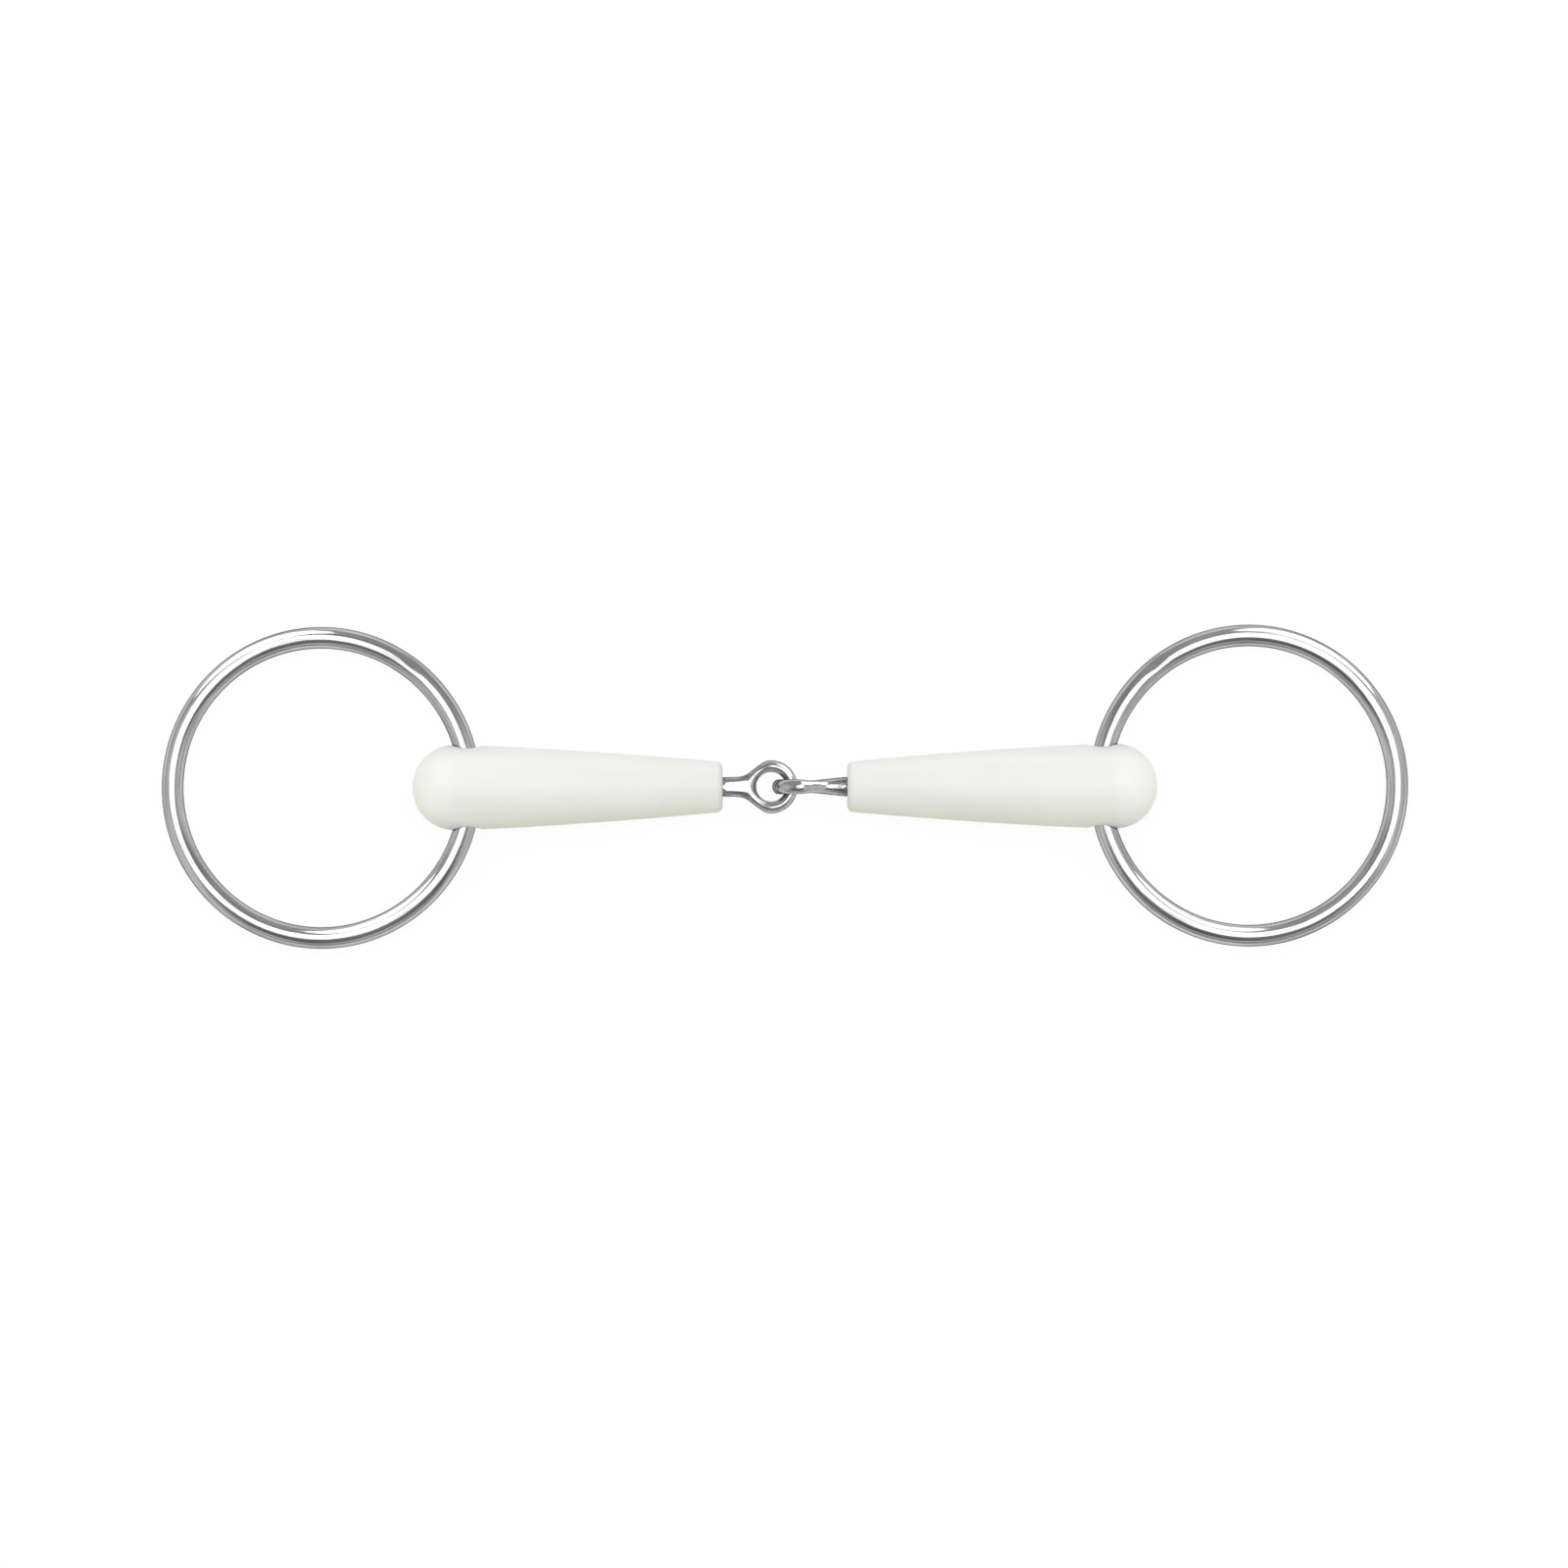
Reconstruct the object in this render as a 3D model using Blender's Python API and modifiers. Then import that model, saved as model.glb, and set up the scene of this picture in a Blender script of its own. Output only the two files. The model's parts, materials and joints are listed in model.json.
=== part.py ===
"""Loose-ring snaffle bit: two steel cores hooked together, each under a moulded sleeve with a ring.

The bit lies flat on Z = 0. X runs along the mouthpiece, Y runs along the holes that the rings pass
through, and the origin is under the middle joint. Each arm is drawn once, in its own frame: the
centre of its joint eye at the origin and +X pointing outward to the ring. All sizes are in metres.
"""
from math import asin, cos, pi, sin, sqrt

import bpy

# Overall width, between the two ring bars where they cross the arms
MOUTH_WIDTH = 0.135

# Running gap that separates neighbouring pieces
GAP = 0.0003

# Rings
RING_BAR = 0.0047
RING_MEAN_RADIUS = 0.0322
RING_SEGMENTS = 64
RING_BAR_SIDES = 12

# Sleeves: a taper that swells from the flat inner end to the ball at the outer end
SLEEVE_INNER_END_RADIUS = 0.00538
SLEEVE_BALL_RADIUS = 0.00913
SLEEVE_TAPER_LENGTH = 0.0573
SLEEVE_TAPER_POWER = 1.35
SLEEVE_EDGE_ROUND = 0.001
SLEEVE_SIDES = 32
SLEEVE_TAPER_STEPS = 8
SLEEVE_BALL_STEPS = 7
SLEEVE_EDGE_STEPS = 3

# Hole through the sleeve for the ring, with softly flared mouths
HOLE_FLARE = 0.0006
HOLE_FLARE_DEPTH = 0.0012
HOLE_SIDES = 24
HOLE_FLARE_STEPS = 3

# Joint eyes in the middle: rounded flat loops, a little thicker at the tip than at the neck
EYE_INNER_RADIUS = 0.00315
EYE_OUTER_RADIUS = 0.0057
EYE_TIP_THICKNESS = 0.0032
EYE_NECK_THICKNESS = 0.0027
EYE_SEGMENTS = 36
EYE_BAR_SIDES = 12

# Neck and shank of each core: the neck spreads sideways into the eye and is flattened across it
EYE_TO_SLEEVE = 0.01035
SHANK_RADIUS = 0.0021
SHANK_SIDES = 16
NECK_SPREAD = 0.0012
NECK_SPREAD_POWER = 4
NECK_TO_SLEEVE = 0.0006
NECK_STEPS = 6

# Loop of the core around the ring hole, buried in the sleeve behind a plastic lining
HOLE_LINING = 0.0009
LOOP_BAR_RADIUS = 0.0012
LOOP_SEGMENTS = 28
LOOP_BAR_SIDES = 10
LOOP_NECK_HALF_HEIGHT = 0.0026
LOOP_NECK_LENGTH = 0.0052
LOOP_NECK_STEPS = 4

# Places that follow from the sizes above
EYE_SPACING = 2 * EYE_INNER_RADIUS - GAP
EYE_MEAN_RADIUS = (EYE_INNER_RADIUS + EYE_OUTER_RADIUS) / 2
AXIS_HEIGHT = SLEEVE_BALL_RADIUS
RING_BOW = (RING_MEAN_RADIUS - sqrt(RING_MEAN_RADIUS**2 - SLEEVE_BALL_RADIUS**2)) / 2
HOLE_RADIUS = RING_BOW + RING_BAR / 2 + GAP
HOLE_X = (MOUTH_WIDTH - EYE_SPACING) / 2 + RING_BOW
LOOP_RADIUS = HOLE_RADIUS + HOLE_LINING + LOOP_BAR_RADIUS
RING_CENTRE_FROM_HOLE = RING_MEAN_RADIUS - RING_BOW
RING_TILT = asin((AXIS_HEIGHT - RING_BAR / 2) / (RING_CENTRE_FROM_HOLE + RING_MEAN_RADIUS))


def clear_scene():
    for old in list(bpy.data.objects):
        bpy.data.objects.remove(old, do_unlink=True)


def new_collection(name):
    collection = bpy.data.collections.new(name)
    bpy.context.scene.collection.children.link(collection)
    return collection


def new_material(name, colour, roughness, metallic):
    material = bpy.data.materials.new(name)
    material.use_nodes = True
    shader = material.node_tree.nodes["Principled BSDF"]
    shader.inputs["Base Color"].default_value = (*colour, 1.0)
    shader.inputs["Roughness"].default_value = roughness
    shader.inputs["Metallic"].default_value = metallic
    return material


def new_empty(name, parent=None, location=(0, 0, 0), rotation=(0, 0, 0)):
    empty = bpy.data.objects.new(name, None)
    parts.objects.link(empty)
    empty.parent = parent
    empty.location = location
    empty.rotation_euler = rotation
    return empty


def place(obj, parent, material, location=(0, 0, 0), rotation=(0, 0, 0)):
    """Put a finished piece among the parts, under the empty that carries it."""
    parts.objects.link(obj)
    obj.parent = parent
    obj.location = location
    obj.rotation_euler = rotation
    obj.data.materials.append(material)


def combine(obj, shape, operation, location=(0, 0, 0), rotation=(0, 0, 0)):
    """Join a hidden shape to a piece, or cut it out, placed under the same empty as the piece."""
    cutters.objects.link(shape)
    shape.parent = obj.parent
    shape.location = location
    shape.rotation_euler = rotation
    shape.hide_render = True
    shape.display_type = "WIRE"
    boolean = obj.modifiers.new(shape.name, "BOOLEAN")
    boolean.operation = operation
    boolean.object = shape


def turned(name, profile, sides):
    """Solid turned about Z from (radius, height) points that run down its outer side."""
    mesh = bpy.data.meshes.new(name)
    points = [(radius, 0, height) for radius, height in profile]
    edges = [(i, i + 1) for i in range(len(points) - 1)]
    mesh.from_pydata(points, edges, [])
    obj = bpy.data.objects.new(name, mesh)
    screw = obj.modifiers.new("Turn", "SCREW")
    screw.steps = sides
    screw.render_steps = sides
    screw.use_merge_vertices = True
    screw.merge_threshold = 0.00001
    return obj


def torus(name, mean_radius, bar_radius, segments, sides):
    bpy.ops.mesh.primitive_torus_add(
        major_radius=mean_radius,
        minor_radius=bar_radius,
        major_segments=segments,
        minor_segments=sides,
    )
    obj = bpy.context.object
    obj.name = name
    bpy.context.collection.objects.unlink(obj)
    obj.data.shade_smooth()
    return obj


def lofted_bar(name, sections, sides):
    """Closed bar along X through elliptical sections, each (x, half size in Y, half size in Z)."""
    points = []
    for x, half_y, half_z in sections:
        for i in range(sides):
            angle = 2 * pi * i / sides
            points.append((x, half_y * cos(angle), half_z * sin(angle)))
    faces = []
    for k in range(len(sections) - 1):
        near = k * sides
        far = near + sides
        for i in range(sides):
            j = (i + 1) % sides
            faces.append((near + i, near + j, far + j, far + i))
    last = (len(sections) - 1) * sides
    faces.append(tuple(reversed(range(sides))))
    faces.append(tuple(range(last, last + sides)))
    mesh = bpy.data.meshes.new(name)
    mesh.from_pydata(points, [], faces)
    mesh.shade_smooth()
    return bpy.data.objects.new(name, mesh)


def blend(start, end, share):
    return start + (end - start) * share


def sleeve_radius(from_end):
    """Radius of the sleeve at a distance from its flat inner end, up to the ball."""
    share = 1 - from_end / SLEEVE_TAPER_LENGTH
    return blend(SLEEVE_BALL_RADIUS, SLEEVE_INNER_END_RADIUS, share**SLEEVE_TAPER_POWER)


def sleeve_profile():
    """Outline of the sleeve: ball end, taper, rounded edge, flat inner end at height 0."""
    profile = []
    for i in range(SLEEVE_BALL_STEPS):
        angle = pi / 2 * i / SLEEVE_BALL_STEPS
        height = SLEEVE_TAPER_LENGTH + SLEEVE_BALL_RADIUS * cos(angle)
        profile.append((SLEEVE_BALL_RADIUS * sin(angle), height))
    for i in range(SLEEVE_TAPER_STEPS):
        height = blend(SLEEVE_TAPER_LENGTH, SLEEVE_EDGE_ROUND, i / SLEEVE_TAPER_STEPS)
        profile.append((sleeve_radius(height), height))
    edge_centre = sleeve_radius(SLEEVE_EDGE_ROUND) - SLEEVE_EDGE_ROUND
    for i in range(SLEEVE_EDGE_STEPS + 1):
        angle = pi / 2 * i / SLEEVE_EDGE_STEPS
        radius = edge_centre + SLEEVE_EDGE_ROUND * cos(angle)
        profile.append((radius, SLEEVE_EDGE_ROUND * (1 - sin(angle))))
    profile.append((0, 0))
    return profile


def hole_profile():
    """Outline of the ring hole, flared in a quarter round at both mouths and running past them."""
    widest = HOLE_RADIUS + HOLE_FLARE
    past_mouth = SLEEVE_BALL_RADIUS + HOLE_FLARE
    upper = [(0, past_mouth), (widest, past_mouth)]
    for i in range(HOLE_FLARE_STEPS + 1):
        angle = pi / 2 * i / HOLE_FLARE_STEPS
        height = SLEEVE_BALL_RADIUS - HOLE_FLARE_DEPTH * (1 - cos(angle))
        upper.append((widest - HOLE_FLARE * sin(angle), height))
    lower = [(radius, -height) for radius, height in reversed(upper)]
    return upper + lower


def neck_sections():
    """Sections of the neck, (x, half width in the eye's plane, half thickness across it)."""
    sections = []
    for i in range(NECK_STEPS + 1):
        share = i / NECK_STEPS
        x = blend(EYE_MEAN_RADIUS, EYE_TO_SLEEVE - NECK_TO_SLEEVE, share)
        width = SHANK_RADIUS + NECK_SPREAD * (1 - share) ** NECK_SPREAD_POWER
        thickness = blend(EYE_NECK_THICKNESS / 2, SHANK_RADIUS, share)
        sections.append((x, width, thickness))
    return sections


def loop_neck_sections(grow=0):
    """Sections where the round shank flattens and runs into the buried loop."""
    end = HOLE_X - LOOP_RADIUS
    sections = []
    for i in range(LOOP_NECK_STEPS + 1):
        share = i / LOOP_NECK_STEPS
        half_y = blend(SHANK_RADIUS, LOOP_BAR_RADIUS, share) + grow
        half_z = blend(SHANK_RADIUS, LOOP_NECK_HALF_HEIGHT, share) + grow
        sections.append((end - LOOP_NECK_LENGTH * (1 - share), half_y, half_z))
    return sections


def buried_loop(name, grow=0):
    return torus(name, LOOP_RADIUS, LOOP_BAR_RADIUS + grow, LOOP_SEGMENTS, LOOP_BAR_SIDES)


def joint_eye(name):
    """Loop of rounded bar lying in the XY plane, thinned towards the neck on its +X side."""
    bar_half_width = (EYE_OUTER_RADIUS - EYE_INNER_RADIUS) / 2
    eye = torus(name, EYE_MEAN_RADIUS, bar_half_width, EYE_SEGMENTS, EYE_BAR_SIDES)
    for vertex in eye.data.vertices:
        share = (vertex.co.x / EYE_OUTER_RADIUS + 1) / 2
        thickness = blend(EYE_TIP_THICKNESS, EYE_NECK_THICKNESS, share)
        vertex.co.z *= thickness / 2 / bar_half_width
    return eye


def make_core(side, arm, eye_x, eye_stands):
    """Steel core of one arm, with its joint eye lying flat or standing upright."""
    neck = neck_sections()
    eye_roll = 0
    if eye_stands:
        neck = [(x, thickness, width) for x, width, thickness in neck]
        eye_roll = pi / 2
    core = lofted_bar(f"{side}_core", neck + loop_neck_sections(), SHANK_SIDES)
    place(core, arm, steel, (eye_x, 0, 0))
    combine(core, joint_eye(f"{side}_eye_shape"), "UNION", (eye_x, 0, 0), (eye_roll, 0, 0))
    loop = buried_loop(f"{side}_loop_shape")
    combine(core, loop, "UNION", (eye_x + HOLE_X, 0, 0), (pi / 2, 0, 0))


def make_sleeve(side, arm, eye_x):
    """Moulded sleeve of one arm, hollow for the core and bored across for the ring."""
    sleeve = turned(f"{side}_sleeve", sleeve_profile(), SLEEVE_SIDES)
    place(sleeve, arm, plastic, (eye_x + EYE_TO_SLEEVE, 0, 0), (0, pi / 2, 0))
    outside = (EYE_TO_SLEEVE - SLEEVE_EDGE_ROUND, SHANK_RADIUS + GAP, SHANK_RADIUS + GAP)
    shank_space = lofted_bar(f"{side}_shank_space", [outside] + loop_neck_sections(GAP), SHANK_SIDES)
    combine(sleeve, shank_space, "DIFFERENCE", (eye_x, 0, 0))
    hole_place = (eye_x + HOLE_X, 0, 0)
    loop_space = buried_loop(f"{side}_loop_space", GAP)
    combine(sleeve, loop_space, "DIFFERENCE", hole_place, (pi / 2, 0, 0))
    ring_hole = turned(f"{side}_ring_hole", hole_profile(), HOLE_SIDES)
    combine(sleeve, ring_hole, "DIFFERENCE", hole_place, (pi / 2, 0, 0))


def make_ring(side, arm, eye_x):
    """Ring on the pivot in the middle of its hole, lying with its outer side down on the table."""
    hole_place = (eye_x + HOLE_X, 0, 0)
    pivot = new_empty(f"{side}_ring_pivot", arm, hole_place, (0, RING_TILT, 0))
    ring = torus(f"{side}_ring", RING_MEAN_RADIUS, RING_BAR / 2, RING_SEGMENTS, RING_BAR_SIDES)
    place(ring, pivot, steel, (RING_CENTRE_FROM_HOLE, 0, 0))


clear_scene()
parts = new_collection("snaffle_bit")
cutters = new_collection("cutters")
steel = new_material("polished_steel", (0.78, 0.78, 0.79), 0.1, 1.0)
plastic = new_material("milky_plastic", (0.87, 0.88, 0.84), 0.35, 0.0)

# The right arm folds about the axis of the left arm's joint eye, so both arms hang on that point
joint = (-EYE_SPACING / 2, 0, AXIS_HEIGHT)
left_arm = new_empty("left_arm", location=joint, rotation=(0, 0, pi))
right_arm = new_empty("right_arm_fold_pivot", location=joint)

make_core("left", left_arm, 0, eye_stands=False)
make_sleeve("left", left_arm, 0)
make_ring("left", left_arm, 0)
make_core("right", right_arm, EYE_SPACING, eye_stands=True)
make_sleeve("right", right_arm, EYE_SPACING)
make_ring("right", right_arm, EYE_SPACING)
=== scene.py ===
"""Looks of the loose-ring snaffle bit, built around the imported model.

Each arm is drawn in its own frame, as in the solid model: the centre of its joint eye at the origin
and +X pointing outward to the ring. All sizes are in metres.
"""
import json
from math import asin, pi, radians, sqrt

import bpy
import numpy as np
from mathutils import Matrix, Quaternion, Vector


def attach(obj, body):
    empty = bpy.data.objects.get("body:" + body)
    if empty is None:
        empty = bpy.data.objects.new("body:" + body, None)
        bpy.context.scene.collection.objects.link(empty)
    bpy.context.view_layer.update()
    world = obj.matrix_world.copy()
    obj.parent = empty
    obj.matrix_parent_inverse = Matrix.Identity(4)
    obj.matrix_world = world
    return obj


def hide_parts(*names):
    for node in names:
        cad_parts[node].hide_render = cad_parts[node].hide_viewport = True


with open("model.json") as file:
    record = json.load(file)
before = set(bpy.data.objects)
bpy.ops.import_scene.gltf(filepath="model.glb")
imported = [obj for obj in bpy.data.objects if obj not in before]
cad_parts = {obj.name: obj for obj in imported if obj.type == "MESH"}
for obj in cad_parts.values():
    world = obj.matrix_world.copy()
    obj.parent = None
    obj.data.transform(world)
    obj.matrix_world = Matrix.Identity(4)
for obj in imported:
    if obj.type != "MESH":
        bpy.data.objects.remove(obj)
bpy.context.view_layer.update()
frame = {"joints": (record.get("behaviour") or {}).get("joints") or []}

# Rings
RING_BAR_RADIUS = 0.00235
RING_MEAN_RADIUS = 0.0322
RING_SEGMENTS = 288
RING_BAR_SIDES = 40

# Weld of each ring, ground flat on its upper outer shoulder: place along the ring and size
WELD_ANGLE = radians(127.5)
WELD_HALF_LENGTH = radians(3.8)
WELD_SHOULDER = radians(32)
WELD_SHOULDER_SPREAD = radians(28)
WELD_DEPTH = 0.0003

# Waves left by the grinding: two sets, each with its count along the whole ring and around the bar
WELD_WAVE_HALF_LENGTH = radians(16)
WELD_WAVE_HEIGHT = 0.00004
WELD_WAVES = ((18, 3), (9, 2))

# Sleeves
EYE_TO_SLEEVE = 0.01035
SLEEVE_INNER_END_RADIUS = 0.00538
SLEEVE_BALL_RADIUS = 0.00913
SLEEVE_TAPER_LENGTH = 0.0573
SLEEVE_TAPER_POWER = 1.35
SLEEVE_EDGE_ROUND = 0.0012
HOLE_MOUTH_ROUND = 0.0003
BORE_FIT = 0.00003
BORE_SPACE = 0.0002
BORE_FIT_LENGTH = 0.003
BORE_EDGE_ROUND = 0.00015
RING_GAP = 0.00015

# Joint eyes, and the necks that carry them
EYE_INNER_RADIUS = 0.00315
EYE_OUTER_RADIUS = 0.0057
EYE_TIP_HALF_THICKNESS = 0.0016
EYE_WAIST_HALF_THICKNESS = 0.00133
EYE_THINNING_START = -0.0005
EYE_WAIST_X = 0.0029
NECK_SWELL_END = 0.0098
NECK_SWELL_ROUND = 0.0006
SHANK_RADIUS = 0.0021
FLANK_START = 0.0026
FLANK_START_ROUND = 0.0005
FLANK_END = 0.00575
FLANK_SLOPE = 0.81
FLANK_ROUND = 0.0009
FLANK_BLEND = 0.0008
MIN_BAR_WIDTH = 0.0015
FLAT_STARTS = (0.0045, 0.0065)
FLAT_ENDS = (0.0094, 0.0103)
WEB_START = 0.004
WEB_END = 0.0062

# Forging scale beside the sleeves. Its dark colour is partly painted shade, laid on the sides of the shank
# and on the edge where the eye flares.
SCALE_START = 0.0066
SCALE_AND_SHADE_FLANK = (0.5 * SHANK_RADIUS, 0.92 * SHANK_RADIUS)
SCALE_DEPTH = 0.00005
SCALE_EVEN_SHARE = 0.6
SCALE_WAVE_SHARE = 0.4
SCALE_WAVELENGTH = 0.0011
FLARE_STARTS = (0.0005, 0.003)
FLARE_ENDS = (0.006, 0.0085)
FLARE_EDGE = (0.4, 0.9)

# What differs between the eye that lies flat (False) and the one that stands (True). The scale's dark cover
# differs too, as painted shade: over the top of the standing eye's shank beside the sleeve, and on the flat
# eye's flared edge.
NECK_FLATNESS = {False: 0.9, True: 0.15}
# Painted shade: the standing eye's shank is darkened on top beside the sleeve
TOP_SCALE_AND_SHADE = {False: 0.0, True: 0.95}
FLARE_SCALE_AND_SHADE = {False: 0.75, True: 0.1}

# Loop of the core around the ring hole, buried in the sleeve
HOLE_LINING = 0.0009
LOOP_BAR_RADIUS = 0.0012
LOOP_NECK_HALF_HEIGHT = 0.0026
LOOP_NECK_LENGTH = 0.0052
LOOP_FILLET = 0.0004

# Grid that a core is meshed on: how far its stretches reach, and the spacing in each
EYE_REACH = 0.0061
NECK_REACH = 0.0113
SHANK_REACH = 0.0535
LOOP_REACH = 0.0725
CORE_HALF_HEIGHT = 0.0069
EYE_SPACING = 0.00018
SHANK_SPACING = 0.0008
LOOP_SPACING = 0.00032

# Grid that a sleeve is meshed on: finer at the inner end, round the ring hole and at its mouths
SLEEVE_HALF_WIDTH = 0.0097
INNER_END_MARGIN = 0.0005
INNER_END_LENGTH = 0.0035
BALL_BEFORE_HOLE = 0.008
OUTER_END_MARGIN = 0.0006
HOLE_REACH = 0.0046
MOUTH_INSIDE = 0.0075
BORE_REACH = 0.003
TAPER_SPACING = 0.0006
BALL_SPACING = 0.0004
INNER_END_SPACING = 0.00025
HOLE_SPACING = 0.00022
MOUTH_SPACING = 0.0002

# Meshing: steps for slopes, least slope that a point is moved by, and rounds of moving
SLANT_STEP = 1e-6
SLOPE_STEP = 2e-6
LEAST_STEEPNESS = 0.05
SETTLE_ROUNDS = 2
EVEN_OUT_ROUNDS = 5

# Places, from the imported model's joints and the sizes above
joint_place = {joint["name"]: joint["pos_m"] for joint in frame["joints"]}
EYE_X = abs(joint_place["mouthpiece_fold"][0])
AXIS_HEIGHT = joint_place["mouthpiece_fold"][2]
HOLE_X = abs(joint_place["left_ring_swivel"][0]) - EYE_X
RING_BOW = (RING_MEAN_RADIUS - sqrt(RING_MEAN_RADIUS**2 - SLEEVE_BALL_RADIUS**2)) / 2
HOLE_RADIUS = RING_BOW + RING_BAR_RADIUS + RING_GAP
LOOP_RADIUS = HOLE_RADIUS + HOLE_LINING + LOOP_BAR_RADIUS
RING_CENTRE_FROM_HOLE = RING_MEAN_RADIUS - RING_BOW
RING_TILT = asin((AXIS_HEIGHT - RING_BAR_RADIUS) / (RING_CENTRE_FROM_HOLE + RING_MEAN_RADIUS))
SLEEVE_LENGTH = SLEEVE_TAPER_LENGTH + SLEEVE_BALL_RADIUS


# Shapes as fields: negative inside, positive outside, about a distance in metres


def blend(start, end, share):
    return start + (end - start) * share


def rounded_common(a, b, radius):
    """What two shapes share, with the edge between them rounded."""
    corner = np.hypot(np.maximum(a + radius, 0), np.maximum(b + radius, 0))
    return np.minimum(np.maximum(a, b), -radius) + corner


def smooth_union(a, b, fillet):
    """Two shapes together, with a fillet in the corner between them."""
    share = np.clip(0.5 + 0.5 * (b - a) / fillet, 0, 1)
    return blend(b, a, share) - fillet * share * (1 - share)


def smooth_step(value, start, end):
    share = np.clip((value - start) / (end - start), 0, 1)
    return share * share * (3 - 2 * share)


def soft_ramp(value, rounding):
    """0 below 0 and the value itself above, with a rounded corner between."""
    return (np.hypot(value, rounding) + value) / 2


def ripple(p, wavelength):
    """Smooth waves between about -1 and 1. Their factors are uneven, so that no pattern shows."""
    x, y, z = (p[..., i] * 2 * pi / wavelength for i in range(3))
    first = np.sin(x + 1.3 * np.sin(0.7 * y + 0.4)) * np.cos(0.9 * z + 0.8 * np.sin(0.6 * x))
    second = np.sin(1.7 * y + 0.9 * np.cos(1.1 * z) + 2.1) * np.cos(1.4 * x + 0.5)
    return 0.6 * first + 0.4 * second


def sleeve_radius(from_end):
    share = 1 - np.clip(from_end / SLEEVE_TAPER_LENGTH, 0, 1)
    return blend(SLEEVE_BALL_RADIUS, SLEEVE_INNER_END_RADIUS, share**SLEEVE_TAPER_POWER)


def eye_half_width(x):
    """Outline of the eye and its neck beyond the eye's centre: a disc that runs down to the shank."""
    on_disc = FLANK_START - soft_ramp(FLANK_START - np.maximum(x, 0), FLANK_START_ROUND)
    disc = np.sqrt(EYE_OUTER_RADIUS**2 - on_disc**2)
    at_sleeve = soft_ramp(FLANK_END - EYE_TO_SLEEVE, FLANK_ROUND)
    flank = SHANK_RADIUS + FLANK_SLOPE * (soft_ramp(FLANK_END - x, FLANK_ROUND) - at_sleeve)
    return smooth_union(disc, flank, FLANK_BLEND)


def eye_half_thickness(x):
    """Thick at the tip, thinnest at the waist and swelling to the round shank."""
    thinning = smooth_step(x, EYE_THINNING_START, EYE_WAIST_X)
    eye = blend(EYE_TIP_HALF_THICKNESS, EYE_WAIST_HALF_THICKNESS, thinning)
    slope = (SHANK_RADIUS - EYE_WAIST_HALF_THICKNESS) / (NECK_SWELL_END - EYE_WAIST_X)
    swell = slope * soft_ramp(x - EYE_WAIST_X, NECK_SWELL_ROUND)
    return np.minimum(eye + swell, SHANK_RADIUS)


def eye_section(x, y):
    """Place across the eye's bar, from -1 at the hole to 1 at the outer edge, and half its width."""
    half_width = eye_half_width(x)
    slant = (eye_half_width(x + SLANT_STEP) - eye_half_width(x - SLANT_STEP)) / (2 * SLANT_STEP)
    from_centre = np.hypot(x, y)
    from_hole = from_centre - EYE_INNER_RADIUS
    to_flank = (half_width - np.abs(y)) / np.sqrt(1 + slant**2)
    to_edge = np.where(x < 0, EYE_OUTER_RADIUS - from_centre, to_flank)
    bar_width = np.maximum(from_hole + to_edge, MIN_BAR_WIDTH)
    web = smooth_step(x, WEB_START, WEB_END)
    across = blend((from_hole - to_edge) / bar_width, np.abs(y) / half_width, web)
    return across, blend(bar_width / 2, half_width, web)


def section_power(x, flatness):
    """2 for an oval section, more where the forged neck is flattened between the eye and the sleeve."""
    return 2 + flatness * smooth_step(x, *FLAT_STARTS) * (1 - smooth_step(x, *FLAT_ENDS))


def eye_field(x, y, z, flatness):
    """Eye with an oval section all round its hole, running into the shank through a web."""
    across, half_width = eye_section(x, y)
    half_thickness = eye_half_thickness(x)
    size = np.minimum(half_width, half_thickness)
    power = section_power(x, flatness)
    reach = np.abs(across) ** power + np.abs(z / half_thickness) ** power
    return (reach ** (1 / power) - 1) * size


def scale_and_shade_share(x, y, top_share):
    """Forging scale, partly painted shade: grows towards the sleeve, full on the sides of the shank, where
    it darkens the bar as painted shade, and less on its top.
    """
    near_sleeve = np.clip((x - SCALE_START) / (EYE_TO_SLEEVE - SCALE_START), 0, 1)
    return near_sleeve * np.maximum(smooth_step(np.abs(y), *SCALE_AND_SHADE_FLANK), top_share)


def flare_and_shade_share(x, across):
    """Rough outer edge where the eye flares out of its neck, also darkened there as painted shade."""
    along = smooth_step(x, *FLARE_STARTS) * (1 - smooth_step(x, *FLARE_ENDS))
    return along * smooth_step(across, *FLARE_EDGE)


def loop_field(x, y, z, grow):
    from_middle = np.hypot(x - HOLE_X, z) - LOOP_RADIUS
    return np.hypot(from_middle, y) - LOOP_BAR_RADIUS - grow


def loop_neck_share(x):
    start = HOLE_X - LOOP_RADIUS - LOOP_NECK_LENGTH
    return np.clip((x - start) / LOOP_NECK_LENGTH, 0, 1)


def oval_bar(across, half_across, along, half_along):
    size = np.minimum(half_across, half_along)
    return (np.hypot(across / half_across, along / half_along) - 1) * size


def shank_end_field(x, y, z, grow):
    """Round shank that flattens into the buried loop."""
    share = loop_neck_share(x)
    half_y = blend(SHANK_RADIUS, LOOP_BAR_RADIUS, share) + grow
    half_z = blend(SHANK_RADIUS, LOOP_NECK_HALF_HEIGHT, share) + grow
    return np.maximum(oval_bar(y, half_y, z, half_z), x - HOLE_X + LOOP_RADIUS)


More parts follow.
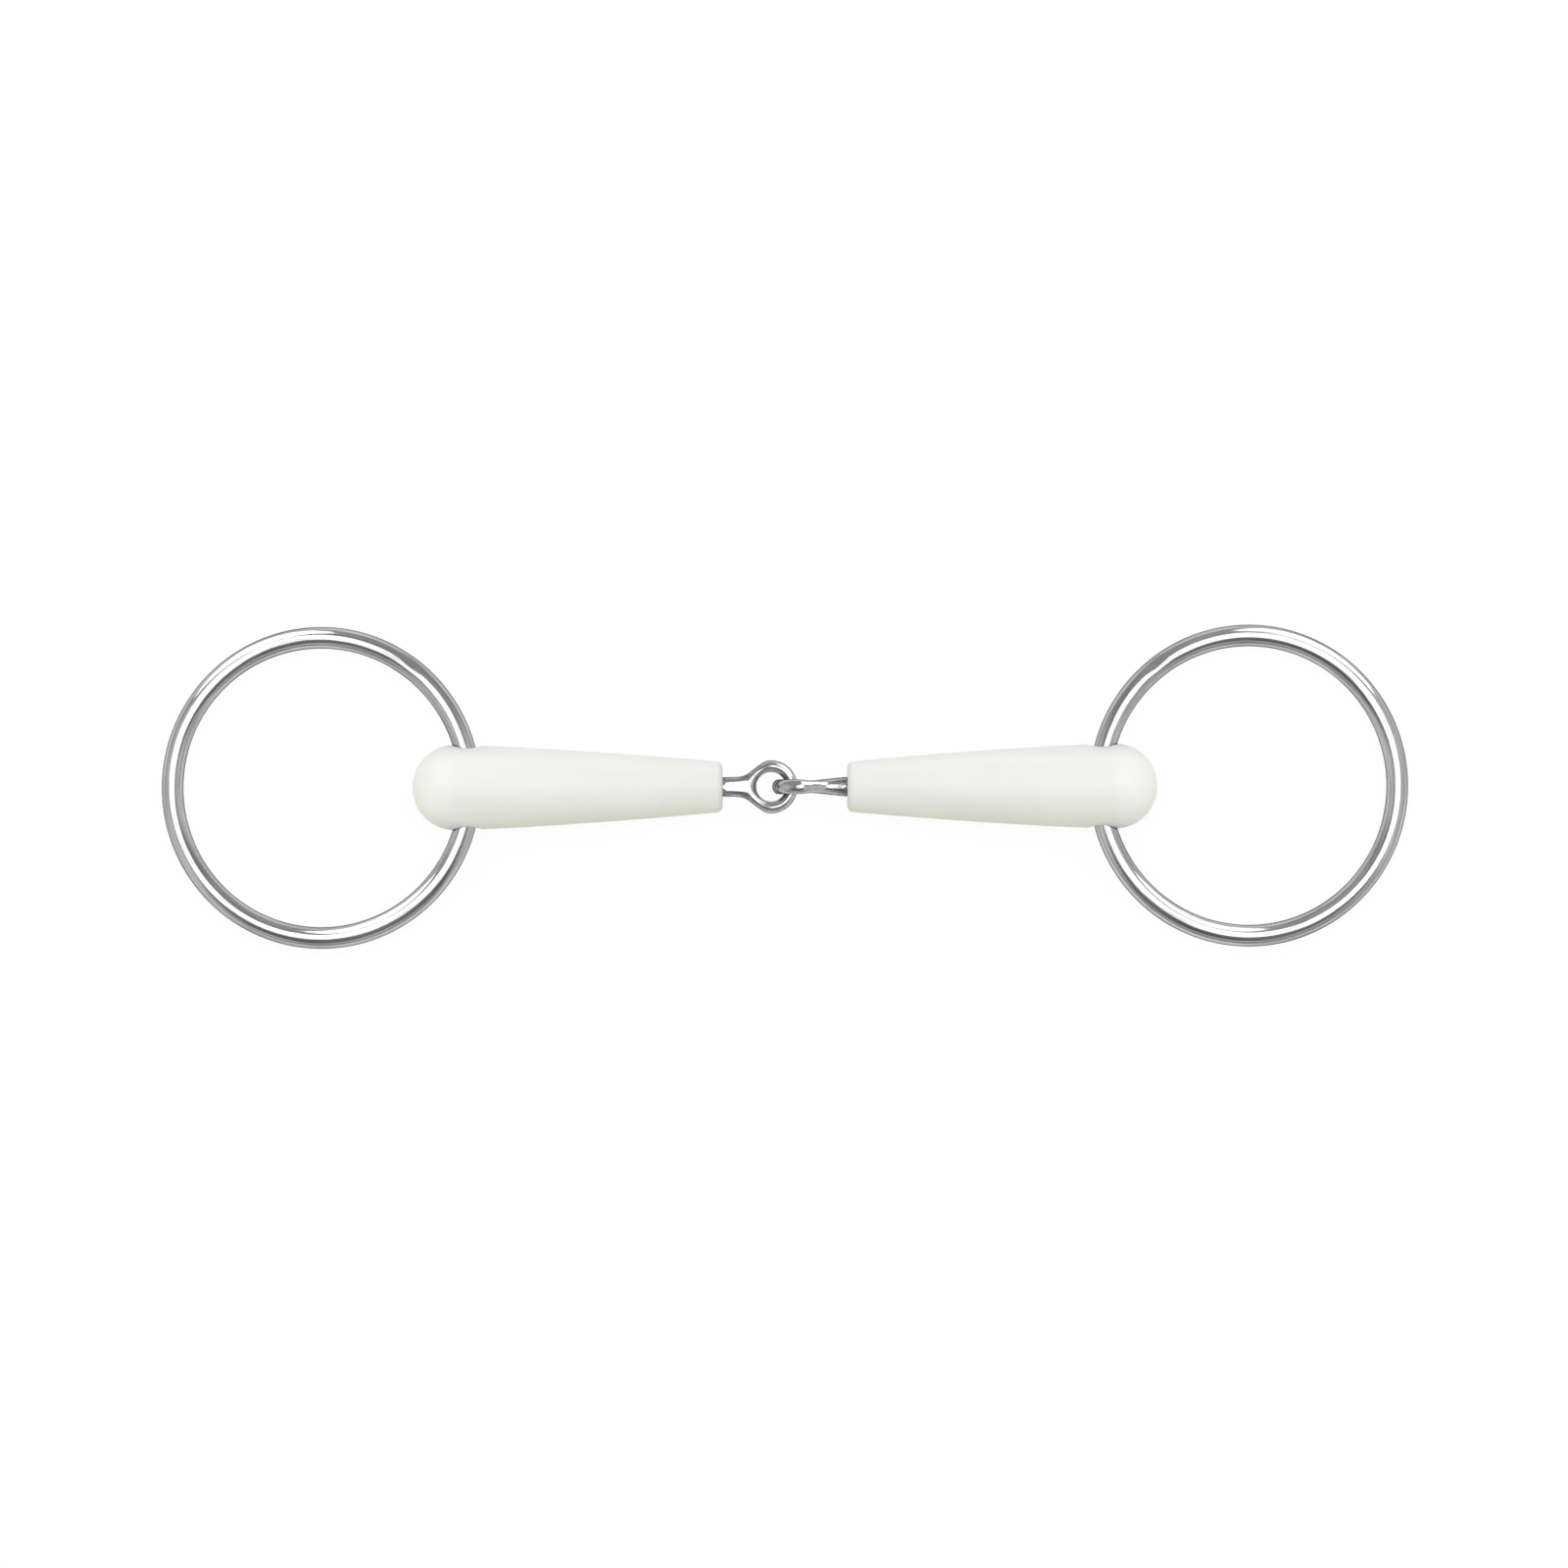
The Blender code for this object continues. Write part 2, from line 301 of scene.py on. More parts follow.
def core_field(eye_stands):
    def field(p):
        x, y, z = p[..., 0], p[..., 1], p[..., 2]
        in_plane, across = (z, y) if eye_stands else (y, z)
        eye = eye_field(x, in_plane, across, NECK_FLATNESS[eye_stands])
        eye = np.maximum(eye, x - EYE_TO_SLEEVE)
        shank = np.maximum(shank_end_field(x, y, z, 0), EYE_TO_SLEEVE - x)
        body = np.minimum(eye, shank)
        body = smooth_union(body, loop_field(x, y, z, 0), LOOP_FILLET)
        bare = x < EYE_TO_SLEEVE + BORE_FIT_LENGTH / 2
        scale = scale_and_shade_share(x, y, TOP_SCALE_AND_SHADE[eye_stands]) * bare
        uneven = SCALE_EVEN_SHARE + SCALE_WAVE_SHARE * ripple(p, SCALE_WAVELENGTH)
        return body + SCALE_DEPTH * scale * uneven

    return field


def sleeve_field(p):
    x, y, z = p[..., 0], p[..., 1], p[..., 2]
    from_end = x - EYE_TO_SLEEVE
    radial = np.hypot(y, z)
    ball = np.hypot(from_end - SLEEVE_TAPER_LENGTH, radial) - SLEEVE_BALL_RADIUS
    side = np.where(from_end > SLEEVE_TAPER_LENGTH, ball, radial - sleeve_radius(from_end))
    body = rounded_common(side, -from_end, SLEEVE_EDGE_ROUND)
    fit = np.clip(from_end / BORE_FIT_LENGTH - 1, 0, 1)
    grow = blend(BORE_FIT, BORE_SPACE, fit)
    bore = np.minimum(shank_end_field(x, y, z, grow), loop_field(x, y, z, BORE_SPACE))
    body = rounded_common(body, -bore, BORE_EDGE_ROUND)
    hole = np.hypot(x - HOLE_X, z) - HOLE_RADIUS
    return rounded_common(body, -hole, HOLE_MOUTH_ROUND)


# Meshes


def field_slope(field, points):
    slope = np.empty_like(points)
    for axis in range(3):
        shift = np.zeros(3)
        shift[axis] = SLOPE_STEP
        slope[:, axis] = (field(points + shift) - field(points - shift)) / (2 * SLOPE_STEP)
    return slope


def settle(field, points, rounds):
    """Move points onto the surface of a field."""
    for _ in range(rounds):
        slope = field_slope(field, points)
        steep = np.maximum((slope**2).sum(1), LEAST_STEEPNESS)
        points = points - (field(points) / steep)[:, None] * slope
    return points


def even_out(field, points, quads, rounds):
    """Slide points along the surface, half the way to the middle of their neighbours."""
    first = np.concatenate([quads[:, i] for i in range(4)])
    second = np.concatenate([quads[:, (i + 1) % 4] for i in range(4)])
    one = np.concatenate([first, second])
    other = np.concatenate([second, first])
    count = np.bincount(one, minlength=len(points))[:, None]
    for _ in range(rounds):
        total = np.stack([np.bincount(one, points[other, i], len(points)) for i in range(3)], 1)
        points = settle(field, 0.5 * points + 0.5 * total / count, 1)
    return points


def surface_points(values, nodes, boxes):
    """For each box of the grid that a surface crosses, the middle of its crossings; and its number."""
    inside = values < 0
    total = np.zeros(boxes + (3,))
    count = np.zeros(boxes)

    def corner(array, offset):
        return array[tuple(slice(o, o + n) for o, n in zip(offset, boxes))]

    for axis in range(3):
        others = [i for i in range(3) if i != axis]
        for a in (0, 1):
            for b in (0, 1):
                near = [0, 0, 0]
                near[others[0]] = a
                near[others[1]] = b
                far = list(near)
                far[axis] = 1
                crossed = corner(inside, near) != corner(inside, far)
                start, end = corner(values, near), corner(values, far)
                share = np.where(crossed, start / np.where(crossed, start - end, 1), 0)
                point = blend(corner(nodes, near), corner(nodes, far), share[..., None])
                total += np.where(crossed[..., None], point, 0)
                count += crossed
    active = count > 0
    points = total[active] / count[active][:, None]
    number = np.full(boxes, -1)
    number[active] = np.arange(len(points))
    return points, number


def surface_quads(inside, number):
    """A quad round each line of the grid that a surface crosses, facing out."""
    quads = []
    for axis in range(3):
        one, two = (axis + 1) % 3, (axis + 2) % 3
        low = [slice(1, -1)] * 3
        high = [slice(1, -1)] * 3
        low[axis] = slice(0, -1)
        high[axis] = slice(1, None)
        start, end = inside[tuple(low)], inside[tuple(high)]
        place = np.argwhere(start != end)
        outward = start[start != end]
        place[:, one] += 1
        place[:, two] += 1
        ring = []
        for a, b in ((1, 1), (0, 1), (0, 0), (1, 0)):
            box = place.copy()
            box[:, one] -= a
            box[:, two] -= b
            ring.append(number[tuple(box.T)])
        ring = np.stack(ring, 1)
        ring[~outward] = ring[~outward][:, ::-1]
        quads.append(ring)
    return np.concatenate(quads)


def surface_of(field, xs, ys, zs):
    """Points and quads of a field's surface, one point for each box of the grid that it crosses."""
    axes = (xs, ys, zs)
    nodes = np.stack(np.meshgrid(*axes, indexing="ij"), -1)
    values = field(nodes)
    boxes = tuple(len(axis) - 1 for axis in axes)
    points, number = surface_points(values, nodes, boxes)
    return points, surface_quads(values < 0, number)


def grid_lines(start, *stretches):
    """Grid lines from a start through stretches, each given as its spacing and its end."""
    lines = []
    for spacing, end in stretches:
        count = max(2, round((end - start) / spacing))
        lines.append(np.linspace(start, end, count, endpoint=False))
        start = end
    return np.concatenate(lines + [[start]])


def new_piece(name, points, quads, matrix, material, normals=None):
    mesh = bpy.data.meshes.new(name)
    mesh.from_pydata(points.tolist(), [], quads.tolist())
    mesh.shade_smooth()
    if normals is not None:
        mesh.normals_split_custom_set_from_vertices(normals.tolist())
    mesh.transform(matrix)
    mesh.materials.append(material)
    piece = bpy.data.objects.new(name, mesh)
    bpy.context.scene.collection.objects.link(piece)
    return piece


def add_value(piece, name, values):
    layer = piece.data.attributes.new(name, "FLOAT", "POINT")
    layer.data.foreach_set("value", values.astype(np.float32))


def field_piece(name, field, grid, matrix, material):
    points, quads = surface_of(field, *grid)
    points = settle(field, points, SETTLE_ROUNDS)
    points = even_out(field, points, quads, EVEN_OUT_ROUNDS)
    points = settle(field, points, SETTLE_ROUNDS)
    slope = field_slope(field, points)
    slope /= np.linalg.norm(slope, axis=1)[:, None]
    return new_piece(name, points, quads, matrix, material, slope), points


def make_core(side, arm, eye_stands):
    along = grid_lines(-EYE_REACH, (EYE_SPACING, NECK_REACH), (SHANK_SPACING, SHANK_REACH),
                       (LOOP_SPACING, LOOP_REACH))
    flat = grid_lines(-EYE_REACH, (EYE_SPACING, EYE_REACH))
    tall = grid_lines(-CORE_HALF_HEIGHT, (EYE_SPACING, CORE_HALF_HEIGHT))
    field = core_field(eye_stands)
    piece, points = field_piece(f"{side}_core_forging", field, (along, flat, tall), arm, core_steel)
    x, y, z = points.T
    across, _ = eye_section(x, z if eye_stands else y)
    flare = FLARE_SCALE_AND_SHADE[eye_stands] * flare_and_shade_share(x, across)
    scale = scale_and_shade_share(x, y, TOP_SCALE_AND_SHADE[eye_stands])
    # Cover of the dark scale colour: real scale near the sleeve, plus painted shade on the shank's sides,
    # the flat eye's flared edge and the standing eye's shank top
    add_value(piece, "forge_scale_and_shade", np.maximum(scale, flare))
    return piece


def make_sleeve(side, arm):
    end = EYE_TO_SLEEVE + SLEEVE_LENGTH
    along = grid_lines(
        EYE_TO_SLEEVE - INNER_END_MARGIN,
        (INNER_END_SPACING, EYE_TO_SLEEVE + INNER_END_LENGTH),
        (TAPER_SPACING, HOLE_X - BALL_BEFORE_HOLE),
        (BALL_SPACING, HOLE_X - HOLE_REACH),
        (HOLE_SPACING, HOLE_X + HOLE_REACH),
        (BALL_SPACING, end + OUTER_END_MARGIN),
    )
    across = grid_lines(
        -SLEEVE_HALF_WIDTH,
        (MOUTH_SPACING, -MOUTH_INSIDE),
        (BALL_SPACING, -BORE_REACH),
        (INNER_END_SPACING, BORE_REACH),
        (BALL_SPACING, MOUTH_INSIDE),
        (MOUTH_SPACING, SLEEVE_HALF_WIDTH),
    )
    up = grid_lines(
        -SLEEVE_HALF_WIDTH,
        (BALL_SPACING, -HOLE_REACH),
        (HOLE_SPACING, HOLE_REACH),
        (BALL_SPACING, SLEEVE_HALF_WIDTH),
    )
    piece, _ = field_piece(f"{side}_sleeve_moulding", sleeve_field, (along, across, up), arm, milky_plastic)
    return piece


def turn_from(angle, start):
    """Angle from a start, between -pi and pi."""
    return (angle - start + pi) % (2 * pi) - pi


def bell(value, half_width):
    return np.exp(-((value / half_width) ** 2))


def make_ring(side, arm, weld_angle):
    """Ring of round bar, with the weld ground flat and a little wavy on both sides of it."""
    along = np.arange(RING_SEGMENTS) * 2 * pi / RING_SEGMENTS
    around = np.arange(RING_BAR_SIDES) * 2 * pi / RING_BAR_SIDES
    u, v = np.meshgrid(along, around, indexing="ij")
    from_weld = turn_from(u, weld_angle)
    near_weld = bell(from_weld, WELD_WAVE_HALF_LENGTH)
    from_shoulder = turn_from(v, pi / 2 - WELD_SHOULDER)
    ground = bell(from_weld, WELD_HALF_LENGTH) * bell(from_shoulder, WELD_SHOULDER_SPREAD)
    (along_one, around_one), (along_two, around_two) = WELD_WAVES
    waves = near_weld * np.sin(along_one * from_weld + around_one * v)
    waves *= np.cos(along_two * from_weld + around_two * v)
    # Points where the waves are exactly 0 keep the full bar
    lowered = (1 + waves) / 2 * (waves != 0)
    bar = RING_BAR_RADIUS - WELD_DEPTH * ground - WELD_WAVE_HEIGHT * lowered
    out = RING_MEAN_RADIUS + bar * np.cos(v)
    points = np.stack([out * np.cos(u), out * np.sin(u), bar * np.sin(v)], -1).reshape(-1, 3)
    i, j = np.meshgrid(np.arange(RING_SEGMENTS), np.arange(RING_BAR_SIDES), indexing="ij")
    i_next, j_next = (i + 1) % RING_SEGMENTS, (j + 1) % RING_BAR_SIDES
    corners = ((i, j), (i_next, j), (i_next, j_next), (i, j_next))
    quads = np.stack([(a * RING_BAR_SIDES + b).ravel() for a, b in corners], 1)
    tilt = Matrix.Rotation(RING_TILT, 4, "Y")
    place = Matrix.Translation((HOLE_X, 0, 0)) @ tilt @ Matrix.Translation((RING_CENTRE_FROM_HOLE, 0, 0))
    piece = new_piece(f"{side}_ring_bar", points, quads, arm @ place, ring_steel)
    bar_place = np.stack([turn_from(u, 0) * RING_MEAN_RADIUS, bar * np.cos(v), bar * np.sin(v)], -1)
    layer = piece.data.attributes.new("bar_place", "FLOAT_VECTOR", "POINT")
    layer.data.foreach_set("vector", bar_place.ravel().astype(np.float32))
    add_value(piece, "weld", near_weld.ravel())
    return piece


# Materials


def grey(value):
    return (value, value, value)


STEEL_EDGE_TINT = (*grey(0.12), 1)
STEEL_BUMP = {"strength": 0.12, "distance": 0.0001}
RING_TONES = (grey(0.36), grey(0.6))
WELD_MARK_TONE = grey(0.33)
WELD_ROUGHNESS = 0.04
LINE_HEIGHT = 0.3
CORE_TONES = (grey(0.42), grey(0.57))
SCALE_AND_SHADE_TONE = grey(0.24)
PIT_TONE = grey(0.16)
PIT_ROUGHNESS = 0.2
MOTTLE_HEIGHT = 0.35
PLASTIC_TONES = ((0.845, 0.855, 0.805), (0.875, 0.885, 0.845))
PLASTIC_BUMP = {"strength": 0.06, "distance": 0.00006}
PLASTIC_VALUES = {
    "Subsurface Weight": 0.7,
    "Subsurface Radius": (1.0, 0.95, 0.75),
    "Subsurface Scale": 0.003,
    "IOR": 1.5,
}


class Nodes:
    """Short-hand for building a material's or the world's nodes."""

    def __init__(self, tree):
        self.tree = tree

    def add(self, kind, inputs=None, **settings):
        node = self.tree.nodes.new(kind)
        for name, value in settings.items():
            setattr(node, name, value)
        for name, value in (inputs or {}).items():
            self.set(node.inputs[name], value)
        return node

    def set(self, inlet, value):
        if isinstance(value, bpy.types.NodeSocket):
            self.tree.links.new(value, inlet)
        else:
            inlet.default_value = value

    def coordinates(self, kind):
        return self.add("ShaderNodeTexCoord").outputs[kind]

    def axes_of(self, vector):
        return self.add("ShaderNodeSeparateXYZ", {"Vector": vector}).outputs

    def noise(self, vector, scale, detail, roughness=0.5):
        inputs = {"Vector": vector, "Scale": scale, "Detail": detail, "Roughness": roughness}
        return self.add("ShaderNodeTexNoise", inputs).outputs["Fac"]

    def stretch_x(self, vector, share):
        return self.add("ShaderNodeMapping", {"Vector": vector, "Scale": (share, 1, 1)}).outputs["Vector"]

    def spread(self, value, between, to=(0, 1)):
        """Value from one range to another, held at its ends."""
        low, high = between
        to_low, to_high = to
        inputs = {"Value": value, "From Min": low, "From Max": high, "To Min": to_low, "To Max": to_high}
        return self.add("ShaderNodeMapRange", inputs).outputs["Result"]

    def math(self, operation, a, b):
        return self.add("ShaderNodeMath", {0: a, 1: b}, operation=operation).outputs[0]

    def times(self, a, b):
        return self.math("MULTIPLY", a, b)

    def plus(self, a, b):
        return self.math("ADD", a, b)

    def mix(self, share, a, b):
        node = self.add("ShaderNodeMix", {"Factor": share}, data_type="RGBA")
        for name, value in (("A_Color", a), ("B_Color", b)):
            inlet = next(socket for socket in node.inputs if socket.identifier == name)
            self.set(inlet, (*value, 1) if isinstance(value, tuple) else value)
        return next(socket for socket in node.outputs if socket.identifier == "Result_Color")

    def attribute(self, name, kind="Fac"):
        return self.add("ShaderNodeAttribute", attribute_name=name).outputs[kind]

    def bump(self, height, strength, distance):
        inputs = {"Height": height, "Strength": strength, "Distance": distance}
        return self.add("ShaderNodeBump", inputs).outputs["Normal"]


def new_material(name):
    material = bpy.data.materials.new(name)
    material.use_nodes = True
    tree = material.node_tree
    return material, Nodes(tree), tree.nodes["Principled BSDF"]


def finish(nodes, shader, values):
    for name, value in values.items():
        nodes.set(shader.inputs[name], value)


def finish_steel(nodes, shader, tone, rough, height):
    finish(nodes, shader, {
        "Metallic": 1,
        "Specular Tint": STEEL_EDGE_TINT,
        "Base Color": tone,
        "Roughness": rough,
        "Normal": nodes.bump(height, **STEEL_BUMP),
    })


def make_ring_steel():
    """Polished drawn bar: streaks along the bar, faint smudges, ground marks over the weld."""
    material, nodes, shader = new_material("ring_polished_steel")
    bar = nodes.attribute("bar_place", "Vector")
    weld = nodes.attribute("weld")
    smudge = nodes.noise(nodes.coordinates("Object"), scale=160, detail=4)
    streaks = nodes.noise(nodes.stretch_x(bar, 0.03), scale=1800, detail=4, roughness=0.7)
    lines = nodes.noise(nodes.stretch_x(bar, 0.015), scale=6000, detail=2)
    tone = nodes.mix(nodes.spread(streaks, between=(0.38, 0.6)), *RING_TONES)
    marks = nodes.times(nodes.spread(streaks, between=(0.5, 0.62), to=(0, 0.7)), weld)
    tone = nodes.mix(marks, tone, WELD_MARK_TONE)
    smudge_rough = nodes.spread(smudge, between=(0.3, 0.75), to=(0.05, 0.1))
    line_rough = nodes.spread(lines, between=(0.3, 0.7), to=(0, 0.05))
    rough = nodes.plus(nodes.plus(smudge_rough, line_rough), nodes.times(weld, WELD_ROUGHNESS))
    height = nodes.plus(nodes.times(lines, LINE_HEIGHT), streaks)
    finish_steel(nodes, shader, tone, rough, height)
    return material


def make_core_steel():
    """Forged and tumbled steel: mottled, with dark pitted scale left beside the sleeve. Where the scale
    lies is partly painted shade: the sides of the shank, the flared edge of the eye and the top of the
    standing eye's shank.
    """
    material, nodes, shader = new_material("core_forged_steel")
    place = nodes.coordinates("Object")
    scale = nodes.attribute("forge_scale_and_shade")
    mottle = nodes.noise(place, scale=700, detail=5, roughness=0.6)
    patches = nodes.noise(place, scale=260, detail=3)
    pits = nodes.noise(nodes.stretch_x(place, 0.45), scale=1500, detail=4, roughness=0.65)
    pit_and_shade_cover = nodes.spread(scale, between=(0.1, 0.8), to=(0.03, 0.95))
    pitted = nodes.times(nodes.spread(pits, between=(0.45, 0.58)), pit_and_shade_cover)
    clean = nodes.mix(nodes.spread(mottle, between=(0.35, 0.7)), *CORE_TONES)
    # Dark scale tone: real scale, spread partly as painted shade
    clean = nodes.mix(nodes.spread(scale, between=(0, 1), to=(0, 0.5)), clean, SCALE_AND_SHADE_TONE)
    tone = nodes.mix(pitted, clean, PIT_TONE)
    patch_rough = nodes.spread(patches, between=(0.3, 0.7), to=(0.07, 0.2))
    rough = nodes.plus(patch_rough, nodes.times(pitted, PIT_ROUGHNESS))
    height = nodes.math("SUBTRACT", nodes.times(mottle, MOTTLE_HEIGHT), pitted)
    finish_steel(nodes, shader, tone, rough, height)
    return material


def make_milky_plastic():
    """Milky moulded plastic: faint clouds in the colour, satin skin with a fine orange peel."""
    material, nodes, shader = new_material("sleeve_milky_plastic")
    place = nodes.coordinates("Object")
    clouds = nodes.noise(nodes.stretch_x(place, 0.4), scale=150, detail=3)
    skin = nodes.noise(place, scale=1500, detail=3)
    rubbed = nodes.noise(place, scale=320, detail=4)
    rubbed_rough = nodes.spread(rubbed, between=(0.3, 0.7), to=(0.36, 0.45))
    skin_rough = nodes.spread(skin, between=(0.3, 0.7), to=(0, 0.05))
    finish(nodes, shader, PLASTIC_VALUES)
    finish(nodes, shader, {
        "Base Color": nodes.mix(nodes.spread(clouds, between=(0.3, 0.7)), *PLASTIC_TONES),
        "Roughness": nodes.plus(rubbed_rough, skin_rough),
        "Normal": nodes.bump(skin, **PLASTIC_BUMP),
    })
    return material


# Studio

FRAME_WIDTH = 0.3359
LENS = 250
SENSOR = 36
CAMERA_AIM = (-0.0002, 0.0006)
CAMERA_ROLL = -0.0025

# Grey of the room by height, 0 at the horizon and 1 straight up: a lit strip, then a dim ceiling
ROOM_TONES = (
    (0.0, 0.45), (0.32, 0.4), (0.35, 0.72), (0.5, 0.72),
    (0.54, 0.24), (0.82, 0.22), (0.88, 0.33), (1.0, 0.33),
)

# Walls: tone, where the wall fades in, and how fast the side walls draw back towards back and front
SIDE_WALL_TONE = grey(0.8)
SIDE_WALL_FADE = (0.25, 0.55)
SIDE_WALL_TO_BACK = 0.6
SIDE_WALL_TO_FRONT = -0.43
BACK_WALL_TONE = grey(0.5)
BACK_WALL_FADE = (0.1, 0.6)
WHITE = grey(1)

# Table: the tone that is seen, the light that it throws up in front of the bit and behind it
TABLE_HALF_SIZE = 30
TABLE_TONE = (0.8, 0.8, 0.79)
TABLE_CLEAR_SHARE = 0.92
FRONT_BOUNCE = (0.57, 0.54, 0.35)
BACK_BOUNCE = (0.58, 0.58, 0.58)
BOUNCE_FADE = (-0.012, 0.012)

# Lamps of the right half, which the left half has as mirror images
OVERHEAD = {"size": (0.66, 0.92), "brightness": 2.0}
OVERHEAD_PLACE = (0.275, 0.114, 0.75)
OVERHEAD_AIM = (0.275, 0.114, 0)
OVERHEAD_TURN = radians(-56)
WINDOW = {"size": (0.62, 0.7), "brightness": 2.0}
WINDOW_PLACE = (0.428, 0.502, 0.25)
WINDOW_AIM = (0.1, 0, 0.25)
SLEEVE_FILL = {"size": (1.0, 1.0), "brightness": 0.38}
SLEEVE_FILL_PLACE = (0.55, -0.1, 0.72)
SLEEVE_FILL_AIM = (0.05, 0, 0)

# Low lamp behind both sleeves
SLEEVE_BACK = {
    "size": (0.9, 0.14),
    "brightness": 2.2,
    "place": (0, 0.6, 0.085),
    "aim": (0, 0, 0.009),
    "colour": (0.92, 0.95, 1.0),
}


def make_camera():
    data = bpy.data.cameras.new("photo_camera")
    data.lens = LENS
    data.sensor_width = SENSOR
    camera = bpy.data.objects.new("photo_camera", data)
    camera.location = (*CAMERA_AIM, AXIS_HEIGHT + FRAME_WIDTH * LENS / SENSOR)
    camera.rotation_euler = (0, 0, CAMERA_ROLL)
    bpy.context.scene.collection.objects.link(camera)
    bpy.context.scene.camera = camera


def softbox(name, size, brightness, place, aim, dark_for, colour=WHITE, turn=0):
    """Elliptical lamp that is flagged off from some of the pieces. Brightness 1 looks white."""
    width, height = size
    data = bpy.data.lights.new(name, "AREA")
    data.color = colour
    data.shape = "ELLIPSE"
    data.size = width
    data.size_y = height
    area = pi / 4 * width * height
    data.energy = brightness * pi * area
    lamp = bpy.data.objects.new(name, data)
    lamp.visible_camera = False
    lamp.location = place
    facing = (Vector(aim) - Vector(place)).to_track_quat("-Z", "Y")
    lamp.rotation_euler = (facing @ Quaternion((0, 0, 1), turn)).to_euler()
    bpy.context.scene.collection.objects.link(lamp)
    flagged = bpy.data.collections.new(f"flagged_from_{name}")
    for piece in dark_for:
        flagged.objects.link(piece)
    for entry in flagged.collection_objects:
        entry.light_linking.link_state = "EXCLUDE"
    lamp.light_linking.receiver_collection = flagged


def mirrored(place, sign):
    return (sign * place[0], *place[1:])


def make_lamps(pieces):
    """The two halves of the bit have lamps of their own, and the sleeves some that spare the metal."""
    cores = [pieces["left_core"], pieces["right_core"]]
    sleeves = [pieces["left_sleeve"], pieces["right_sleeve"]]
    metal = cores + [pieces["left_ring"], pieces["right_ring"]]
    halves = (("left", -1, "right"), ("right", 1, "left"))
    for side, sign, other in halves:
        # The joint takes its light from the right
        dark_cores = cores if side == "left" else []
        other_ring = pieces[f"{other}_ring"]
        other_sleeve = pieces[f"{other}_sleeve"]
        softbox(f"{side}_overhead", **OVERHEAD, place=mirrored(OVERHEAD_PLACE, sign),
                aim=mirrored(OVERHEAD_AIM, sign), dark_for=[other_ring, other_sleeve] + dark_cores,
                turn=sign * OVERHEAD_TURN)
        softbox(f"{side}_window", **WINDOW, place=mirrored(WINDOW_PLACE, sign),
                aim=mirrored(WINDOW_AIM, sign), dark_for=[other_ring] + sleeves + dark_cores)
    for side, sign, other in halves:
        softbox(f"{side}_sleeve_fill", **SLEEVE_FILL, place=mirrored(SLEEVE_FILL_PLACE, sign),
                aim=mirrored(SLEEVE_FILL_AIM, sign), dark_for=metal + [pieces[f"{other}_sleeve"]])
    softbox("sleeve_back", **SLEEVE_BACK, dark_for=metal)


def make_world():
    """White below the table. Above it a dim room: a lit strip round the walls, lighter at the sides."""
    world = bpy.data.worlds.new("studio")
    bpy.context.scene.world = world
    world.use_nodes = True
    nodes = Nodes(world.node_tree)
    towards = nodes.axes_of(nodes.coordinates("Generated"))
    ramp = nodes.add("ShaderNodeValToRGB", {"Fac": towards["Z"]})
    points = ramp.color_ramp.elements
    for height, _ in ROOM_TONES[2:]:
        points.new(height)
    for point, (height, tone) in zip(points, ROOM_TONES):
        point.position = height
        point.color = (*grey(tone), 1)
    to_back = nodes.times(towards["Y"], SIDE_WALL_TO_BACK)
    to_front = nodes.times(towards["Y"], SIDE_WALL_TO_FRONT)
    past_corner = nodes.math("MAXIMUM", to_back, to_front)
    sideways = nodes.math("SUBTRACT", nodes.math("ABSOLUTE", towards["X"], 0), past_corner)
    room = nodes.mix(nodes.spread(sideways, between=SIDE_WALL_FADE), ramp.outputs["Color"], SIDE_WALL_TONE)
    room = nodes.mix(nodes.spread(towards["Y"], between=BACK_WALL_FADE), room, BACK_WALL_TONE)
    below = nodes.math("LESS_THAN", towards["Z"], 0)
    background = world.node_tree.nodes["Background"]
    nodes.set(background.inputs["Color"], nodes.mix(below, room, WHITE))


